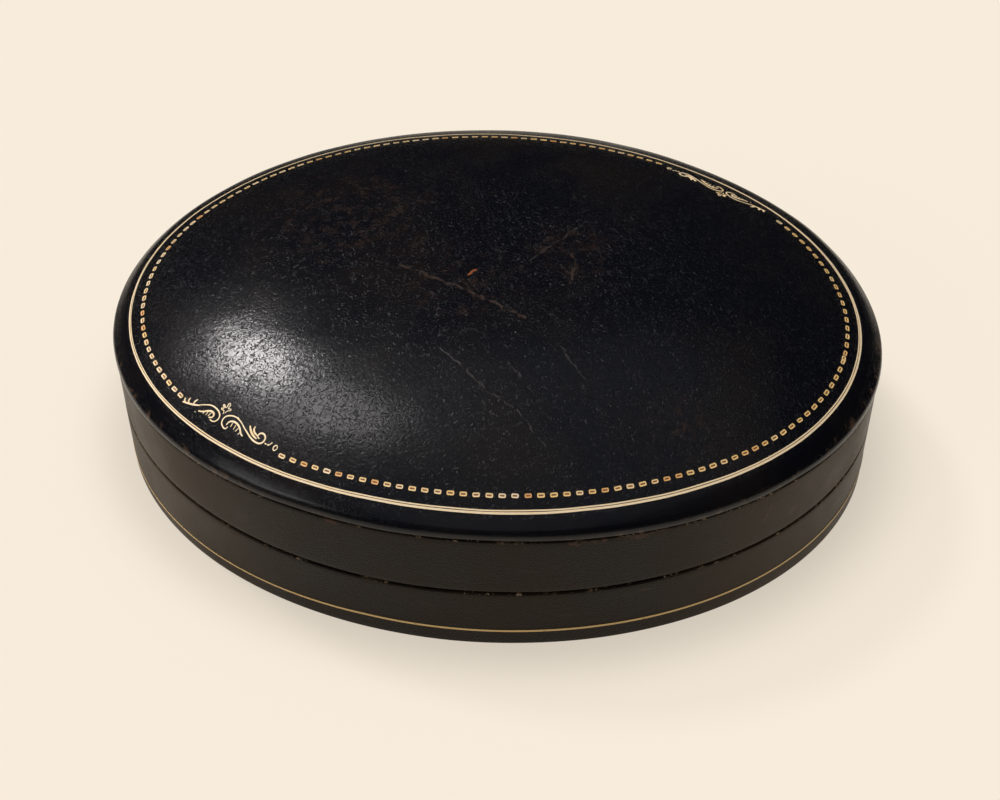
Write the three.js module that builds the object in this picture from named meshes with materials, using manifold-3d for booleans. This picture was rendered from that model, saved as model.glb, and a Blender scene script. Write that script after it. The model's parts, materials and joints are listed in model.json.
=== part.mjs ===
// Oval leather coin case: leather over wooden hoops, a domed lid on a brass hinge, a velvet tray with coin wells.
// Millimetres, +Z up, the origin at the centre of the underside, the hinge at the back (+Y).
import * as THREE from "three";
import { mergeVertices } from "three/addons/utils/BufferGeometryUtils.js";
import Module from "manifold-3d";

// Outer form
const caseLength = 150;
const caseWidth = 112.5;
const seamHeight = 15; // middle of the gap between base and lid
const seamGap = 0.5;
const shoulderHeight = 30; // lower edge of the top leather on the long sides
const shoulderDrop = 1.2; // how much lower the shoulder lies at the two ends
const domeRise = 14.5; // crown of the lid above the shoulder
const domePower = 3; // the crown is flat and falls away towards the shoulder
const noseHeight = 0.45; // upright edge of the top leather below its rolled shoulder
const shoulderRadius = 2.2;
const shoulderTurn = Math.PI / 3; // from the upright edge to the dome
const lapStep = 0.3; // overhang of the top leather past the side leather
const edgeRound = 0.5; // worn edges of the side leather at the foot and the rims

// Thicknesses of the layers
const glueGap = 0.25;
const sideLeather = 1;
const topLeather = 1.2;
const hoopWall = 5.4;
const floorBoard = 2.75;
const wadding = 1;
const domeBoard = 2.5;
const collarWall = 1.4;
const liningCloth = 0.7;
const footTurn = 6; // how far the side leather is turned under the foot
const padEdge = 1.5; // depth of the lid pad's edge below the shoulder
const padCrown = 2.5; // how far the lid pad swells down at its middle

// Collar and tray
const collarRise = 4; // collar above the seam
const collarClearance = 0.8; // lid lining above the collar
const trayBed = 3.25; // velvet bed under the wells
const trayMargin = 3;
const wellDiameter = 39;
const wellWeb = 4;
const wellDepth = 4; // bed to the top of the pierced tray
const fingerNotchDiameter = 14;

// Hinge
const hingeLength = 36;
const knuckleCount = 5;
const knuckleGap = 0.4;
const barrelRadius = 1.5;
const pinRadius = 0.6;
const pinClearance = 0.25;
const leafThickness = 0.8;
const leafSink = 0.15; // leaf below the rim of its half
const leafMargin = 0.3; // leaf to the inner face of the hoop
const notchHalfHeight = 2.6;
const notchClearance = 0.35;

// Hinge nails
const nailCount = 3;
const nailRadius = 0.45;
const nailHeadRadius = 0.8;
const nailHeadHeight = 0.4;
const nailLength = 6;
const nailClearance = 0.2;

// Faceting
const ovalSegments = 60;
const domeSteps = 6;
const shoulderSteps = 3;
const padSteps = 3;
const wellSegments = 30;
const barrelSegments = 20;
const nailSegments = 10;
const mergeTolerance = 1e-4;

// Insets of the walls from the outer oval, from the outside in
const hoopOuter = lapStep + sideLeather + glueGap;
const hoopInner = hoopOuter + hoopWall;
const collarOuter = hoopInner + glueGap;
const collarInner = collarOuter + collarWall;
const liningOuter = collarInner + glueGap;
const waddingOuter = topLeather + glueGap;
const waddingInner = waddingOuter + wadding;
const domeBoardOuter = waddingInner + glueGap;
const domeBoardInner = domeBoardOuter + domeBoard;

// Heights of the base and the rims
const hoopFoot = sideLeather + glueGap;
const floorTop = hoopFoot + floorBoard;
const trayFoot = floorTop + glueGap;
const wellFloor = trayFoot + trayBed;
const trayTop = wellFloor + wellDepth;
const baseRim = seamHeight - seamGap / 2;
const lidRim = seamHeight + seamGap / 2;
const rimTurn = sideLeather + glueGap; // rim to the wood under the turned leather
const collarTop = seamHeight + collarRise;

// Dome of the lid
const meanRadius = (caseLength + caseWidth) / 4;
const crownHeight = shoulderHeight + domeRise;
const shoulderReach = shoulderRadius * (1 - Math.cos(shoulderTurn));
const shoulderTop = shoulderHeight + noseHeight + shoulderRadius * Math.sin(shoulderTurn);
const domeFall = (crownHeight - shoulderTop) / (1 - shoulderReach / meanRadius) ** domePower;

// Hinge axis, set so that the barrel lies flush with the side leather at the middle of the back
const hingeY = caseWidth / 2 - lapStep - barrelRadius;
const leafEdge = caseWidth / 2 - hoopInner + leafMargin;
const leafTop = baseRim - leafSink;
const leafFoot = leafTop - leafThickness;
const knuckleLength = hingeLength / knuckleCount;

const wasm = await Module();
wasm.setup();

// Points of a wall's section: inset from the outer oval, and height above the table or above the shoulder
const wallPoint = (inset, height) => ({ inset, spread: 1, height, drop: 0 });
const shoulderPoint = (inset, above) => ({
  inset,
  spread: 1,
  height: shoulderHeight + above,
  drop: shoulderDrop,
});

// Points of a dome layer's section, from its foot up the rolled shoulder to its crown on the axis
function domeArc(inset, foot) {
  const roll = Math.max(shoulderRadius - inset, 0);
  const rollSpread = (angle) => 1 - (roll * (1 - Math.cos(angle))) / meanRadius;
  const domeHeight = (spread) => crownHeight - inset - domeFall * spread ** domePower;
  const domeEdge = rollSpread(shoulderTurn);
  const arc = [];
  for (let step = 0; roll > 0 && step < shoulderSteps; step++) {
    const angle = shoulderTurn * (step / shoulderSteps);
    const below = roll * (Math.sin(shoulderTurn) - Math.sin(angle));
    arc.push({ spread: rollSpread(angle), height: domeHeight(domeEdge) - below });
  }
  for (let step = 0; step <= domeSteps; step++) {
    const spread = domeEdge * (1 - step / domeSteps);
    arc.push({ spread, height: domeHeight(spread) });
  }
  // The arc starts where it crosses the foot's level, or straight above its own edge
  const first = arc.findIndex((point) => point.height > foot);
  const over = arc[first];
  const under = arc[first - 1] ?? { spread: over.spread, height: foot };
  const share = (foot - under.height) / (over.height - under.height);
  const start = { spread: under.spread + (over.spread - under.spread) * share, height: foot };
  return [start, ...arc.slice(first)].map(({ spread, height }) => ({
    inset,
    spread,
    height,
    drop: shoulderDrop * spread ** 2,
  }));
}

// Revolves a section about the case's axis and stretches each turn to the oval
function ovalRevolve(section) {
  const outline = section.map((point) => new THREE.Vector2(point.spread, point.height));
  const geometry = new THREE.LatheGeometry(outline, ovalSegments);
  const place = geometry.attributes.position;
  for (let i = 0; i < place.count; i++) {
    const { inset, spread, height, drop } = section[i % section.length];
    const angle = (2 * Math.PI * Math.floor(i / section.length)) / ovalSegments;
    const along = Math.sin(angle);
    const x = (caseLength / 2 - inset) * spread * along;
    const y = -(caseWidth / 2 - inset) * spread * Math.cos(angle);
    place.setXYZ(i, x, y, height - drop * along ** 2);
  }
  return geometry;
}

// A ring whose section is a closed loop
const ovalRing = (corners) => ovalRevolve([...corners, corners[0]]);

// A flat oval board
const ovalBoard = (inset, foot, top) =>
  ovalRevolve([
    { ...wallPoint(inset, foot), spread: 0 },
    wallPoint(inset, foot),
    wallPoint(inset, top),
    { ...wallPoint(inset, top), spread: 0 },
  ]);

// A plain upright hoop
const ovalHoop = (outer, inner, foot, top) =>
  ovalRing([wallPoint(outer, foot), wallPoint(outer, top), wallPoint(inner, top), wallPoint(inner, foot)]);

// A domed layer between two insets
const ovalDome = (outer, inner) =>
  ovalRing([...domeArc(outer, shoulderHeight), ...domeArc(inner, shoulderHeight).reverse()]);

function solidFrom(geometry) {
  const bare = geometry.clone();
  bare.deleteAttribute("normal");
  bare.deleteAttribute("uv");
  const merged = mergeVertices(bare, mergeTolerance);
  return new wasm.Manifold(
    new wasm.Mesh({
      numProp: 3,
      vertProperties: merged.attributes.position.array,
      triVerts: new Uint32Array(merged.index.array),
    }),
  );
}

function geometryFrom(solid) {
  const mesh = solid.getMesh();
  const geometry = new THREE.BufferGeometry();
  geometry.setAttribute("position", new THREE.BufferAttribute(mesh.vertProperties, 3));
  geometry.setIndex(new THREE.BufferAttribute(mesh.triVerts, 1));
  return geometry;
}

const cut = (geometry, cutters) =>
  geometryFrom(cutters.reduce((solid, cutter) => solid.subtract(solidFrom(cutter)), solidFrom(geometry)));

function boxBetween(low, high) {
  const box = new THREE.BoxGeometry(high[0] - low[0], high[1] - low[1], high[2] - low[2]);
  return box.translate((low[0] + high[0]) / 2, (low[1] + high[1]) / 2, (low[2] + high[2]) / 2);
}

// A round bar along the hinge axis
function hingeBar(radius, length, x) {
  const bar = new THREE.CylinderGeometry(radius, radius, length, barrelSegments);
  return bar.rotateZ(Math.PI / 2).translate(x, hingeY, seamHeight);
}

// Mirror image in the seam plane, for the lid's half of the hinge
function flipped(geometry) {
  const mirrored = geometry.clone().translate(0, 0, -seamHeight).scale(1, 1, -1).translate(0, 0, seamHeight);
  const index = mirrored.index.array;
  for (let i = 0; i < index.length; i += 3) {
    [index[i + 1], index[i + 2]] = [index[i + 2], index[i + 1]];
  }
  return mirrored;
}

// Clearance for the barrel in both halves of the back wall
const hingeNotch = boxBetween(
  [-hingeLength / 2 - notchClearance, hingeY - barrelRadius - notchClearance, seamHeight - notchHalfHeight],
  [hingeLength / 2 + notchClearance, caseWidth / 2 + barrelRadius, seamHeight + notchHalfHeight],
);

// Bed of the base's leaf in the rim
const leafSeat = boxBetween(
  [-hingeLength / 2 - notchClearance, leafEdge - glueGap, leafFoot - glueGap],
  [hingeLength / 2 + notchClearance, hingeY, seamHeight],
);

// Countersunk nail, driven down through the base's leaf; room widens it into the hole
function hingeNail(number, room) {
  const shank = nailRadius + room;
  const head = nailHeadRadius + room;
  const point = -nailLength - room;
  const profile = [[0, point], [shank, point], [shank, -nailHeadHeight], [head, 0]];
  if (room > 0) profile.push([head, room]);
  profile.push([0, room]);
  const outline = profile.map(([radius, height]) => new THREE.Vector2(radius, height));
  const spacing = hingeLength / nailCount;
  const x = (number - (nailCount - 1) / 2) * spacing;
  const y = (leafEdge + hingeY - barrelRadius) / 2;
  return new THREE.LatheGeometry(outline, nailSegments).rotateX(Math.PI / 2).translate(x, y, leafTop);
}

const nailNumbers = Array.from({ length: nailCount }, (_, number) => number);
const nailHoles = nailNumbers.map((number) => hingeNail(number, nailClearance));

// One leaf with its knuckles; the base has the odd knuckles and the lid the even ones
function hingeLeaf(ownsKnuckle, plate, holes) {
  let leaf = solidFrom(plate);
  for (let k = 0; k < knuckleCount; k++) {
    const x = (k - (knuckleCount - 1) / 2) * knuckleLength;
    leaf = ownsKnuckle(k)
      ? leaf.add(solidFrom(hingeBar(barrelRadius, knuckleLength - knuckleGap, x)))
      : leaf.subtract(solidFrom(hingeBar(barrelRadius + knuckleGap, knuckleLength, x)));
  }
  const bore = hingeBar(pinRadius + pinClearance, hingeLength + knuckleGap, 0);
  return geometryFrom([bore, ...holes].reduce((solid, hole) => solid.subtract(solidFrom(hole)), leaf));
}

const leafPlate = boxBetween([-hingeLength / 2, leafEdge, leafFoot], [hingeLength / 2, hingeY, leafTop]);

// The pierced tray has a row of round wells, each with a finger notch towards the front
const trayInset = liningOuter;
const trayLength = caseLength - 2 * trayInset;
const wellPitch = wellDiameter + wellWeb;
const wellCount = Math.floor((trayLength - 2 * trayMargin + wellWeb) / wellPitch);

function wellCutters() {
  const cutters = [];
  const height = 2 * (wellDepth + glueGap);
  for (let n = 0; n < wellCount; n++) {
    const x = (n - (wellCount - 1) / 2) * wellPitch;
    for (const [diameter, y] of [[wellDiameter, 0], [fingerNotchDiameter, -wellDiameter / 2]]) {
      const round = new THREE.CylinderGeometry(diameter / 2, diameter / 2, height, wellSegments);
      cutters.push(round.rotateX(Math.PI / 2).translate(x, y, trayTop));
    }
  }
  return cutters;
}

// Leather band of the base: outer wall, turned in over the rim and under the foot
const baseBand = ovalRing([
  wallPoint(lapStep + edgeRound, 0),
  wallPoint(lapStep, edgeRound),
  wallPoint(lapStep, baseRim - edgeRound),
  wallPoint(lapStep + edgeRound, baseRim),
  wallPoint(hoopInner, baseRim),
  wallPoint(hoopInner, baseRim - sideLeather),
  wallPoint(lapStep + sideLeather, baseRim - sideLeather),
  wallPoint(lapStep + sideLeather, sideLeather),
  wallPoint(lapStep + footTurn, sideLeather),
  wallPoint(lapStep + footTurn, 0),
]);

// Leather band of the lid: outer wall up to the shoulder, turned in over the rim
const lidBand = ovalRing([
  wallPoint(lapStep + edgeRound, lidRim),
  wallPoint(lapStep, lidRim + edgeRound),
  shoulderPoint(lapStep, -glueGap),
  shoulderPoint(lapStep + sideLeather, -glueGap),
  wallPoint(lapStep + sideLeather, lidRim + sideLeather),
  wallPoint(hoopInner, lidRim + sideLeather),
  wallPoint(hoopInner, lidRim),
]);

const lidHoop = ovalRing([
  wallPoint(hoopOuter, lidRim + rimTurn),
  shoulderPoint(hoopOuter, -glueGap),
  shoulderPoint(hoopInner, -glueGap),
  wallPoint(hoopInner, lidRim + rimTurn),
]);

const lidLining = ovalRing([
  wallPoint(collarOuter, collarTop + collarClearance),
  shoulderPoint(collarOuter, -padEdge - glueGap),
  shoulderPoint(collarOuter + liningCloth, -padEdge - glueGap),
  wallPoint(collarOuter + liningCloth, collarTop + collarClearance),
]);

// Lid pad: swells down into the case and fills the dome above
function lidPad() {
  const underside = [];
  for (let step = 0; step <= padSteps; step++) {
    const spread = step / padSteps;
    underside.push({
      inset: collarOuter,
      spread,
      height: shoulderHeight - padEdge - padCrown * (1 - spread ** 2),
      drop: shoulderDrop * spread ** 2,
    });
  }
  const rim = shoulderPoint(collarOuter, -glueGap);
  return ovalRevolve([...underside, rim, ...domeArc(domeBoardInner + glueGap, rim.height)]);
}

const finishes = {
  leather: { color: 0x1d1a1b, roughness: 0.45, metalness: 0 },
  wood: { color: 0x9a7448, roughness: 0.75, metalness: 0 },
  wadding: { color: 0xd8cdb4, roughness: 0.95, metalness: 0 },
  velvet: { color: 0x4a1420, roughness: 0.9, metalness: 0 },
  silk: { color: 0xd9c9a6, roughness: 0.5, metalness: 0 },
  brass: { color: 0xb08d4a, roughness: 0.35, metalness: 1 },
  steel: { color: 0x9a9a98, roughness: 0.35, metalness: 1 },
};

const coinCase = new THREE.Group();
const base = new THREE.Group();
const lid = new THREE.Group();
lid.position.set(0, hingeY, seamHeight);
coinCase.add(base, lid);

// The lid's group turns about the hinge axis, so its pieces are set back by the axis's place
function addPiece(half, name, geometry, finish) {
  const piece = new THREE.Mesh(geometry, new THREE.MeshStandardMaterial(finishes[finish]));
  piece.name = name;
  piece.position.copy(half.position).negate();
  half.add(piece);
}

addPiece(base, "base_side_leather", cut(baseBand, [hingeNotch, leafSeat]), "leather");
addPiece(
  base,
  "base_hoop",
  cut(ovalHoop(hoopOuter, hoopInner, hoopFoot, baseRim - rimTurn), [hingeNotch, leafSeat, ...nailHoles]),
  "wood",
);
addPiece(base, "base_floor_board", ovalBoard(collarOuter, hoopFoot, floorTop), "wood");
addPiece(base, "base_bottom_leather", ovalBoard(lapStep + footTurn + glueGap, 0, sideLeather), "leather");
addPiece(base, "base_collar", ovalHoop(collarOuter, collarInner, trayFoot, collarTop), "wood");
addPiece(
  base,
  "base_wall_lining",
  ovalHoop(liningOuter, liningOuter + liningCloth, trayTop + glueGap, collarTop),
  "velvet",
);
addPiece(base, "tray_bed", ovalBoard(trayInset, trayFoot, wellFloor), "velvet");
addPiece(base, "coin_tray", cut(ovalBoard(trayInset, wellFloor + glueGap, trayTop), wellCutters()), "velvet");
addPiece(base, "hinge_base_leaf", hingeLeaf((k) => k % 2 === 0, leafPlate, nailHoles), "brass");
addPiece(base, "hinge_pin", hingeBar(pinRadius, hingeLength, 0), "steel");

addPiece(lid, "lid_side_leather", cut(lidBand, [hingeNotch, flipped(leafSeat)]), "leather");
addPiece(lid, "lid_hoop", cut(lidHoop, [hingeNotch, flipped(leafSeat), ...nailHoles.map(flipped)]), "wood");
addPiece(lid, "lid_dome_board", ovalDome(domeBoardOuter, domeBoardInner), "wood");
addPiece(lid, "lid_padding", ovalDome(waddingOuter, waddingInner), "wadding");
addPiece(lid, "lid_top_leather", ovalDome(0, topLeather), "leather");
addPiece(lid, "lid_wall_lining", lidLining, "silk");
addPiece(lid, "lid_lining_pad", lidPad(), "silk");
addPiece(
  lid,
  "hinge_lid_leaf",
  hingeLeaf((k) => k % 2 === 1, flipped(leafPlate), nailHoles.map(flipped)),
  "brass",
);

for (const number of nailNumbers) {
  addPiece(base, `hinge_base_nail_${number + 1}`, hingeNail(number, 0), "brass");
  addPiece(lid, `hinge_lid_nail_${number + 1}`, flipped(hingeNail(number, 0)), "brass");
}

export default coinCase;
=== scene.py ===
# Oval leather coin case with a gilt tooled lid: finishes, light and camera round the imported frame
import json
import random
from math import atan2, cos, hypot, pi, radians, sin

import bmesh
import bpy
from mathutils import Matrix, Vector, noise
from mathutils.bvhtree import BVHTree


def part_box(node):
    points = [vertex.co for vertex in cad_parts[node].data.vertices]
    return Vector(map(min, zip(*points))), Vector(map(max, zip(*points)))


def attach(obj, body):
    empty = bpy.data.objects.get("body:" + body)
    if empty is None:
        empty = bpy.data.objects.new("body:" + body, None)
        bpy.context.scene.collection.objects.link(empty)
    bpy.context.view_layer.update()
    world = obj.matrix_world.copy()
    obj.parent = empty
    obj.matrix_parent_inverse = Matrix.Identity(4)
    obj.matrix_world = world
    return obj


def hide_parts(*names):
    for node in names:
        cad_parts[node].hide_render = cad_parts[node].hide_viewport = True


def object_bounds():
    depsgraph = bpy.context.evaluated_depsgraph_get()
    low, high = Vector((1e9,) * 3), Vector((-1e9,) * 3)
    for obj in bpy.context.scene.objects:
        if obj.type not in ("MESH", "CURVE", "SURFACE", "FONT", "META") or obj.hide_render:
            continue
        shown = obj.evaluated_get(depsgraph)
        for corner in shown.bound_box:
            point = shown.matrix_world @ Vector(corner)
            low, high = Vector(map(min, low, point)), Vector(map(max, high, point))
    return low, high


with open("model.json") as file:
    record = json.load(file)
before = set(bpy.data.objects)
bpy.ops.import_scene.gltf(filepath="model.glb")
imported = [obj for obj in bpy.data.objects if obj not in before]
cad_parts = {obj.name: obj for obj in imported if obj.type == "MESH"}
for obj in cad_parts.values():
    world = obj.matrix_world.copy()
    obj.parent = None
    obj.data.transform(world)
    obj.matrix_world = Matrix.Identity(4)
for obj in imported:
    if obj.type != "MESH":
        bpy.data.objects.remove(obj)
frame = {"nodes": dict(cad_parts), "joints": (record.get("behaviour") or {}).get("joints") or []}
cadLow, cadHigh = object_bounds()
print("frame loaded:", len(frame["nodes"]), "nodes")

mm = 0.001
scene = bpy.context.scene
random.seed(7)

# sizes that several pieces share, read from the frame
halfLength = cadHigh.x
halfWidth = cadHigh.y
crownTop = cadHigh.z
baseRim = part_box("base_side_leather")[1].z
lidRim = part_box("lid_side_leather")[0].z
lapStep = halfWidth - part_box("base_side_leather")[1].y
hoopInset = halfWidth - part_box("base_collar")[1].y  # inner face of the wooden hoops
hinge = frame["joints"][0]["pos_m"]

lidForm = {
    "shoulder": 30.0 * mm,  # lower edge of the top leather on the long sides
    "drop": 1.2 * mm,  # how much lower that edge lies at the two ends
    "dip": 1.4 * mm,  # how much further the outermost leather hangs there
    "dipFrom": 0.955,  # where the dip sets in and how soon it is full, as shares of the oval
    "dipWithin": 0.04,
    "fall": 12.78 * mm,  # from the crown to the edge, by the third power of the way out
    "roll": 2.2 * mm,  # radius of the rolled shoulder
    "rollTurn": radians(60),
}
shoulder = lidForm["shoulder"]
bandTop = shoulder - 0.5 * mm  # upper edge of the lid's side leather

# camera, matched to the photograph
cameraView = {
    "place": (0.02283, -0.26741, 0.28961),
    "tilt": 43.5,
    "turn": 4.7,
    "lens": 69.0,
    "sensor": 36.0,
}


def addCamera():
    data = bpy.data.cameras.new("camera")
    data.lens = cameraView["lens"]
    data.sensor_width = cameraView["sensor"]
    data.sensor_fit = "HORIZONTAL"
    camera = bpy.data.objects.new("camera", data)
    camera.location = cameraView["place"]
    camera.rotation_euler = (radians(cameraView["tilt"]), 0, radians(cameraView["turn"]))
    scene.collection.objects.link(camera)
    scene.camera = camera


addCamera()
scene.view_settings.view_transform = "Standard"
print("camera set")


# node helpers; a socket or a node knows the tree that it belongs to
def plug(value, socket):
    if isinstance(value, bpy.types.NodeSocket):
        socket.id_data.links.new(value, socket)
    else:
        socket.default_value = value


def addNode(owner, kind, sockets=None, **settings):
    node = owner.id_data.nodes.new("ShaderNode" + kind)
    for name, value in settings.items():
        setattr(node, name, value)
    for name, value in (sockets or {}).items():
        plug(value, node.inputs[name])
    return node


def newMaterial(name, **sockets):
    material = bpy.data.materials.new(name)
    material.use_nodes = True
    shader = material.node_tree.nodes["Principled BSDF"]
    for socket, value in sockets.items():
        shader.inputs[socket.replace("_", " ")].default_value = value
    return material, shader, addNode(shader, "TexCoord").outputs["Object"]


def noiseAt(point, scale, detail=3.0, roughness=0.55, distortion=0.0):
    sockets = {"Vector": point, "Scale": scale, "Detail": detail}
    sockets.update({"Roughness": roughness, "Distortion": distortion})
    return addNode(point, "TexNoise", sockets).outputs[0]


def calc(operation, first, second=0.0):
    node = addNode(first, "Math", operation=operation)
    plug(first, node.inputs[0])
    plug(second, node.inputs[1])
    return node.outputs[0]


def plus(first, second):
    return calc("ADD", first, second)


def minus(first, second):
    return calc("SUBTRACT", first, second)


def times(first, *others):
    for other in others:
        first = calc("MULTIPLY", first, other)
    return first


def brightest(masks):
    total = masks[0]
    for mask in masks[1:]:
        total = calc("MAXIMUM", total, mask)
    return total


def vector(operation, first, second=(0, 0, 0), out="Vector"):
    node = addNode(first, "VectorMath", operation=operation)
    plug(first, node.inputs[0])
    plug(second, node.inputs[1])
    return node.outputs[out]


def scaled(fixed, factor):
    node = addNode(factor, "VectorMath", {"Scale": factor}, operation="SCALE")
    plug(fixed, node.inputs[0])
    return node.outputs["Vector"]


def fade(value, start, end, low=0.0, high=1.0):
    sockets = {"Value": value, "From Min": start, "From Max": end, "To Min": low, "To Max": high}
    return addNode(value, "MapRange", sockets, interpolation_type="SMOOTHSTEP").outputs[0]


def mixColour(share, first, second):
    node = addNode(share, "Mix", data_type="RGBA")
    plug(share, node.inputs[0])
    plug(first, node.inputs[6])
    plug(second, node.inputs[7])
    return node.outputs[2]


def paint(shader, colour, gloss=None):
    plug(colour, shader.inputs["Base Color"])
    if gloss is not None:
        plug(gloss, shader.inputs["Roughness"])


def bumped(shader, height, depth, strength=1.0):
    node = addNode(shader, "Bump", {"Height": height, "Distance": depth, "Strength": strength})
    plug(node.outputs[0], shader.inputs["Normal"])


def axisOf(point, axis):
    return addNode(point, "SeparateXYZ", {"Vector": point}).outputs[axis]


# hairlines between pairs of plan points in mm: 1 on a line, 0 past its width
def lineMask(plan, pairs, width):
    masks = []
    for start, end in pairs:
        a = Vector((start[0] * mm, start[1] * mm, 0))
        d = Vector((end[0] * mm, end[1] * mm, 0)) - a
        fromStart = vector("SUBTRACT", plan, a)
        along = vector("DOT_PRODUCT", fromStart, d / d.length_squared, "Value")
        along = calc("MAXIMUM", calc("MINIMUM", along, 1.0), 0.0)
        away = vector("DISTANCE", fromStart, scaled(tuple(d), along), "Value")
        masks.append(fade(away, width * mm, 0.0))
    return brightest(masks)


def spotMask(plan, spots):
    masks = []
    for (x, y), radius in spots:
        away = vector("DISTANCE", plan, (x * mm, y * mm, 0), "Value")
        masks.append(fade(away, radius * mm, radius * mm * 0.2))
    return brightest(masks)


# plan points shifted about by a noise
def wobbled(plan, point, scale, detail, reach):
    shift = addNode(point, "TexNoise", {"Vector": point, "Scale": scale, "Detail": detail}).outputs[1]
    shift = vector("SUBTRACT", shift, (0.5, 0.5, 0.5))
    return vector("ADD", plan, vector("MULTIPLY", shift, (reach, reach, 0)))


# how far out a point lies: 0 on the case's axis, 1 on its outer oval
def ovalShare(point):
    share = vector("MULTIPLY", point, (1 / halfLength, 1 / halfWidth, 0))
    return vector("LENGTH", share, out="Value")


# black grained leather of the lid's top; lines, spots and widths in mm
topWear = {
    "black": (0.0026, 0.0030, 0.0050, 1),
    "brownBlack": (0.0062, 0.0050, 0.0052, 1),
    "rubbed": (0.040, 0.019, 0.011, 1),
    "worn": (0.038, 0.021, 0.014, 1),
    "scratch": (0.060, 0.048, 0.040, 1),
    "fleck": (0.21, 0.064, 0.023, 1),
    "chip": (0.060, 0.036, 0.023, 1),
    "crease": [((-18.2, -1.7), (-10.1, -5.2)), ((-10.1, -5.2), (1.8, -11.3)), ((1.8, -11.3), (6.5, -14.1))],
    "creaseWidth": 0.55,
    "scratches": [
        ((6.5, 1.2), (16.2, 13.5)),
        ((-8.2, -22.5), (0.9, -31.2)),
        ((0.9, -31.2), (7.1, -35.0)),
        ((7.1, -35.0), (11.9, -40.8)),
        ((13.0, -19.6), (18.4, -27.1)),
        ((4.2, -24.7), (6.8, -27.8)),
    ],
    "scratchWidth": 0.28,
    "nicks": [((14.2, 4.2), (15.4, 0.3)), ((15.4, 0.3), (14.1, -4.0))],
    "nickWidth": 0.45,
    "rubbedSpots": [((-30, 13), 24), ((-6, -6), 15), ((36, -34), 9), ((14, 6), 12)],
    "bareFleck": [((-4.9, -3.3), (-3.9, -2.1))],
    "fleckWidth": 0.7,
    "wobble": 1.8,
    "grainSize": 0.95,
    "grainDepth": 0.040,
    "smoothRim": (0.935, 0.962),
    "rimGrain": 0.22,
}


def topLeatherFinish():
    material, shader, point = newMaterial("topLeather", IOR=1.31)
    flat = vector("MULTIPLY", point, (1, 1, 0))
    # crinkled grain: flat tops parted by worm-like furrows where a warped noise crosses its middle
    folds = noiseAt(point, 1000.0 / topWear["grainSize"], 0.6, 0.5, 1.4)
    furrows = fade(calc("ABSOLUTE", minus(folds, 0.5)), 0.05, 0.0)
    tops = noiseAt(point, 1500.0 / topWear["grainSize"], 1.0, 0.5, 0.6)
    swell = noiseAt(point, 95.0)
    # the rim outside the fillet is handled smooth
    kept = fade(ovalShare(point), *topWear["smoothRim"], 1.0, topWear["rimGrain"])
    grain = minus(times(tops, 0.8), furrows)
    height = plus(times(grain, kept), times(swell, 2.0))
    # colour: black with a warm cast, rubbed brown in places
    cloud = noiseAt(point, 38.0, 5.0, 0.6)
    colour = mixColour(fade(cloud, 0.4, 0.68), topWear["black"], topWear["brownBlack"])
    mottled = noiseAt(point, 420.0, 5.0, 0.7)
    rubbed = times(spotMask(flat, topWear["rubbedSpots"]), fade(mottled, 0.47, 0.72))
    colour = mixColour(times(rubbed, 0.5), colour, topWear["rubbed"])
    # crease, scratches, nicks and one bare fleck
    bent = wobbled(flat, point, 420.0, 2.0, topWear["wobble"] * mm)
    broken = fade(noiseAt(point, 700.0), 0.36, 0.58)
    crease = lineMask(bent, topWear["crease"], topWear["creaseWidth"])
    nicks = lineMask(bent, topWear["nicks"], topWear["nickWidth"])
    worn = times(brightest([crease, nicks]), broken)
    colour = mixColour(worn, colour, topWear["worn"])
    lines = times(lineMask(bent, topWear["scratches"], topWear["scratchWidth"]), broken)
    colour = mixColour(times(lines, 0.45), colour, topWear["scratch"])
    fleck = lineMask(bent, topWear["bareFleck"], topWear["fleckWidth"])
    colour = mixColour(fade(fleck, 0.35, 0.65), colour, topWear["fleck"])
    # bare brown flecks along the lower edge
    edge = fade(axisOf(point, "Z"), shoulder + 1.0 * mm, shoulder - 0.6 * mm)
    chips = fade(noiseAt(point, 330.0, 4.0, 0.65), 0.53, 0.63)
    colour = mixColour(times(edge, chips), colour, topWear["chip"])
    gloss = plus(fade(cloud, 0.3, 0.7, 0.19, 0.24), times(rubbed, 0.12))
    gloss = plus(gloss, times(furrows, kept, 0.12))
    gloss = plus(gloss, times(brightest([worn, lines]), 0.25))
    paint(shader, colour, gloss)
    height = minus(height, times(brightest([crease, lines]), 0.8))
    bumped(shader, height, topWear["grainDepth"] * mm)
    return material


# smooth calf of the side walls and the underside
sideWear = {
    "black": (0.0060, 0.0034, 0.0018, 1),
    "brownBlack": (0.0140, 0.0082, 0.0042, 1),
    # browner colour of the two ends: handling wear and painted sheen
    "wearAndSheen": (0.050, 0.032, 0.014, 1),
    "scuff": (0.085, 0.055, 0.034, 1),
    "brown": (0.070, 0.034, 0.020, 1),
    "fleck": (0.30, 0.21, 0.13, 1),
    "edgeReach": 0.7,
    "fleckReach": 0.36,
    "wallRadius": 60,  # the wall is rolled out at this radius
    "wobble": 2.2,
    # rubs on the lid's wall: angle from +X and height at each end
    "rubs": [
        ((-34, 27), (-40, 18.5)),
        ((-31, 25), (-37, 17)),
        ((-43, 26), (-45.5, 21)),
        ((-27, 24), (-30, 18)),
    ],
    "rubWidth": 0.55,
    "topRubs": [((-76, 28.9), (-70, 28.7)), ((-68, 28.6), (-58, 28.2)), ((-110, 28.9), (-106, 28.8))],
    "topRubWidth": 1.1,
}


# the wall rolled out flat: way along it and height, as plan points
def wallPoint(point):
    x = calc("DIVIDE", axisOf(point, "X"), halfLength)
    y = calc("DIVIDE", axisOf(point, "Y"), halfWidth)
    along = times(calc("ARCTAN2", y, x), sideWear["wallRadius"] * mm)
    return addNode(point, "CombineXYZ", {"X": along, "Y": axisOf(point, "Z")}).outputs[0]


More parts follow.
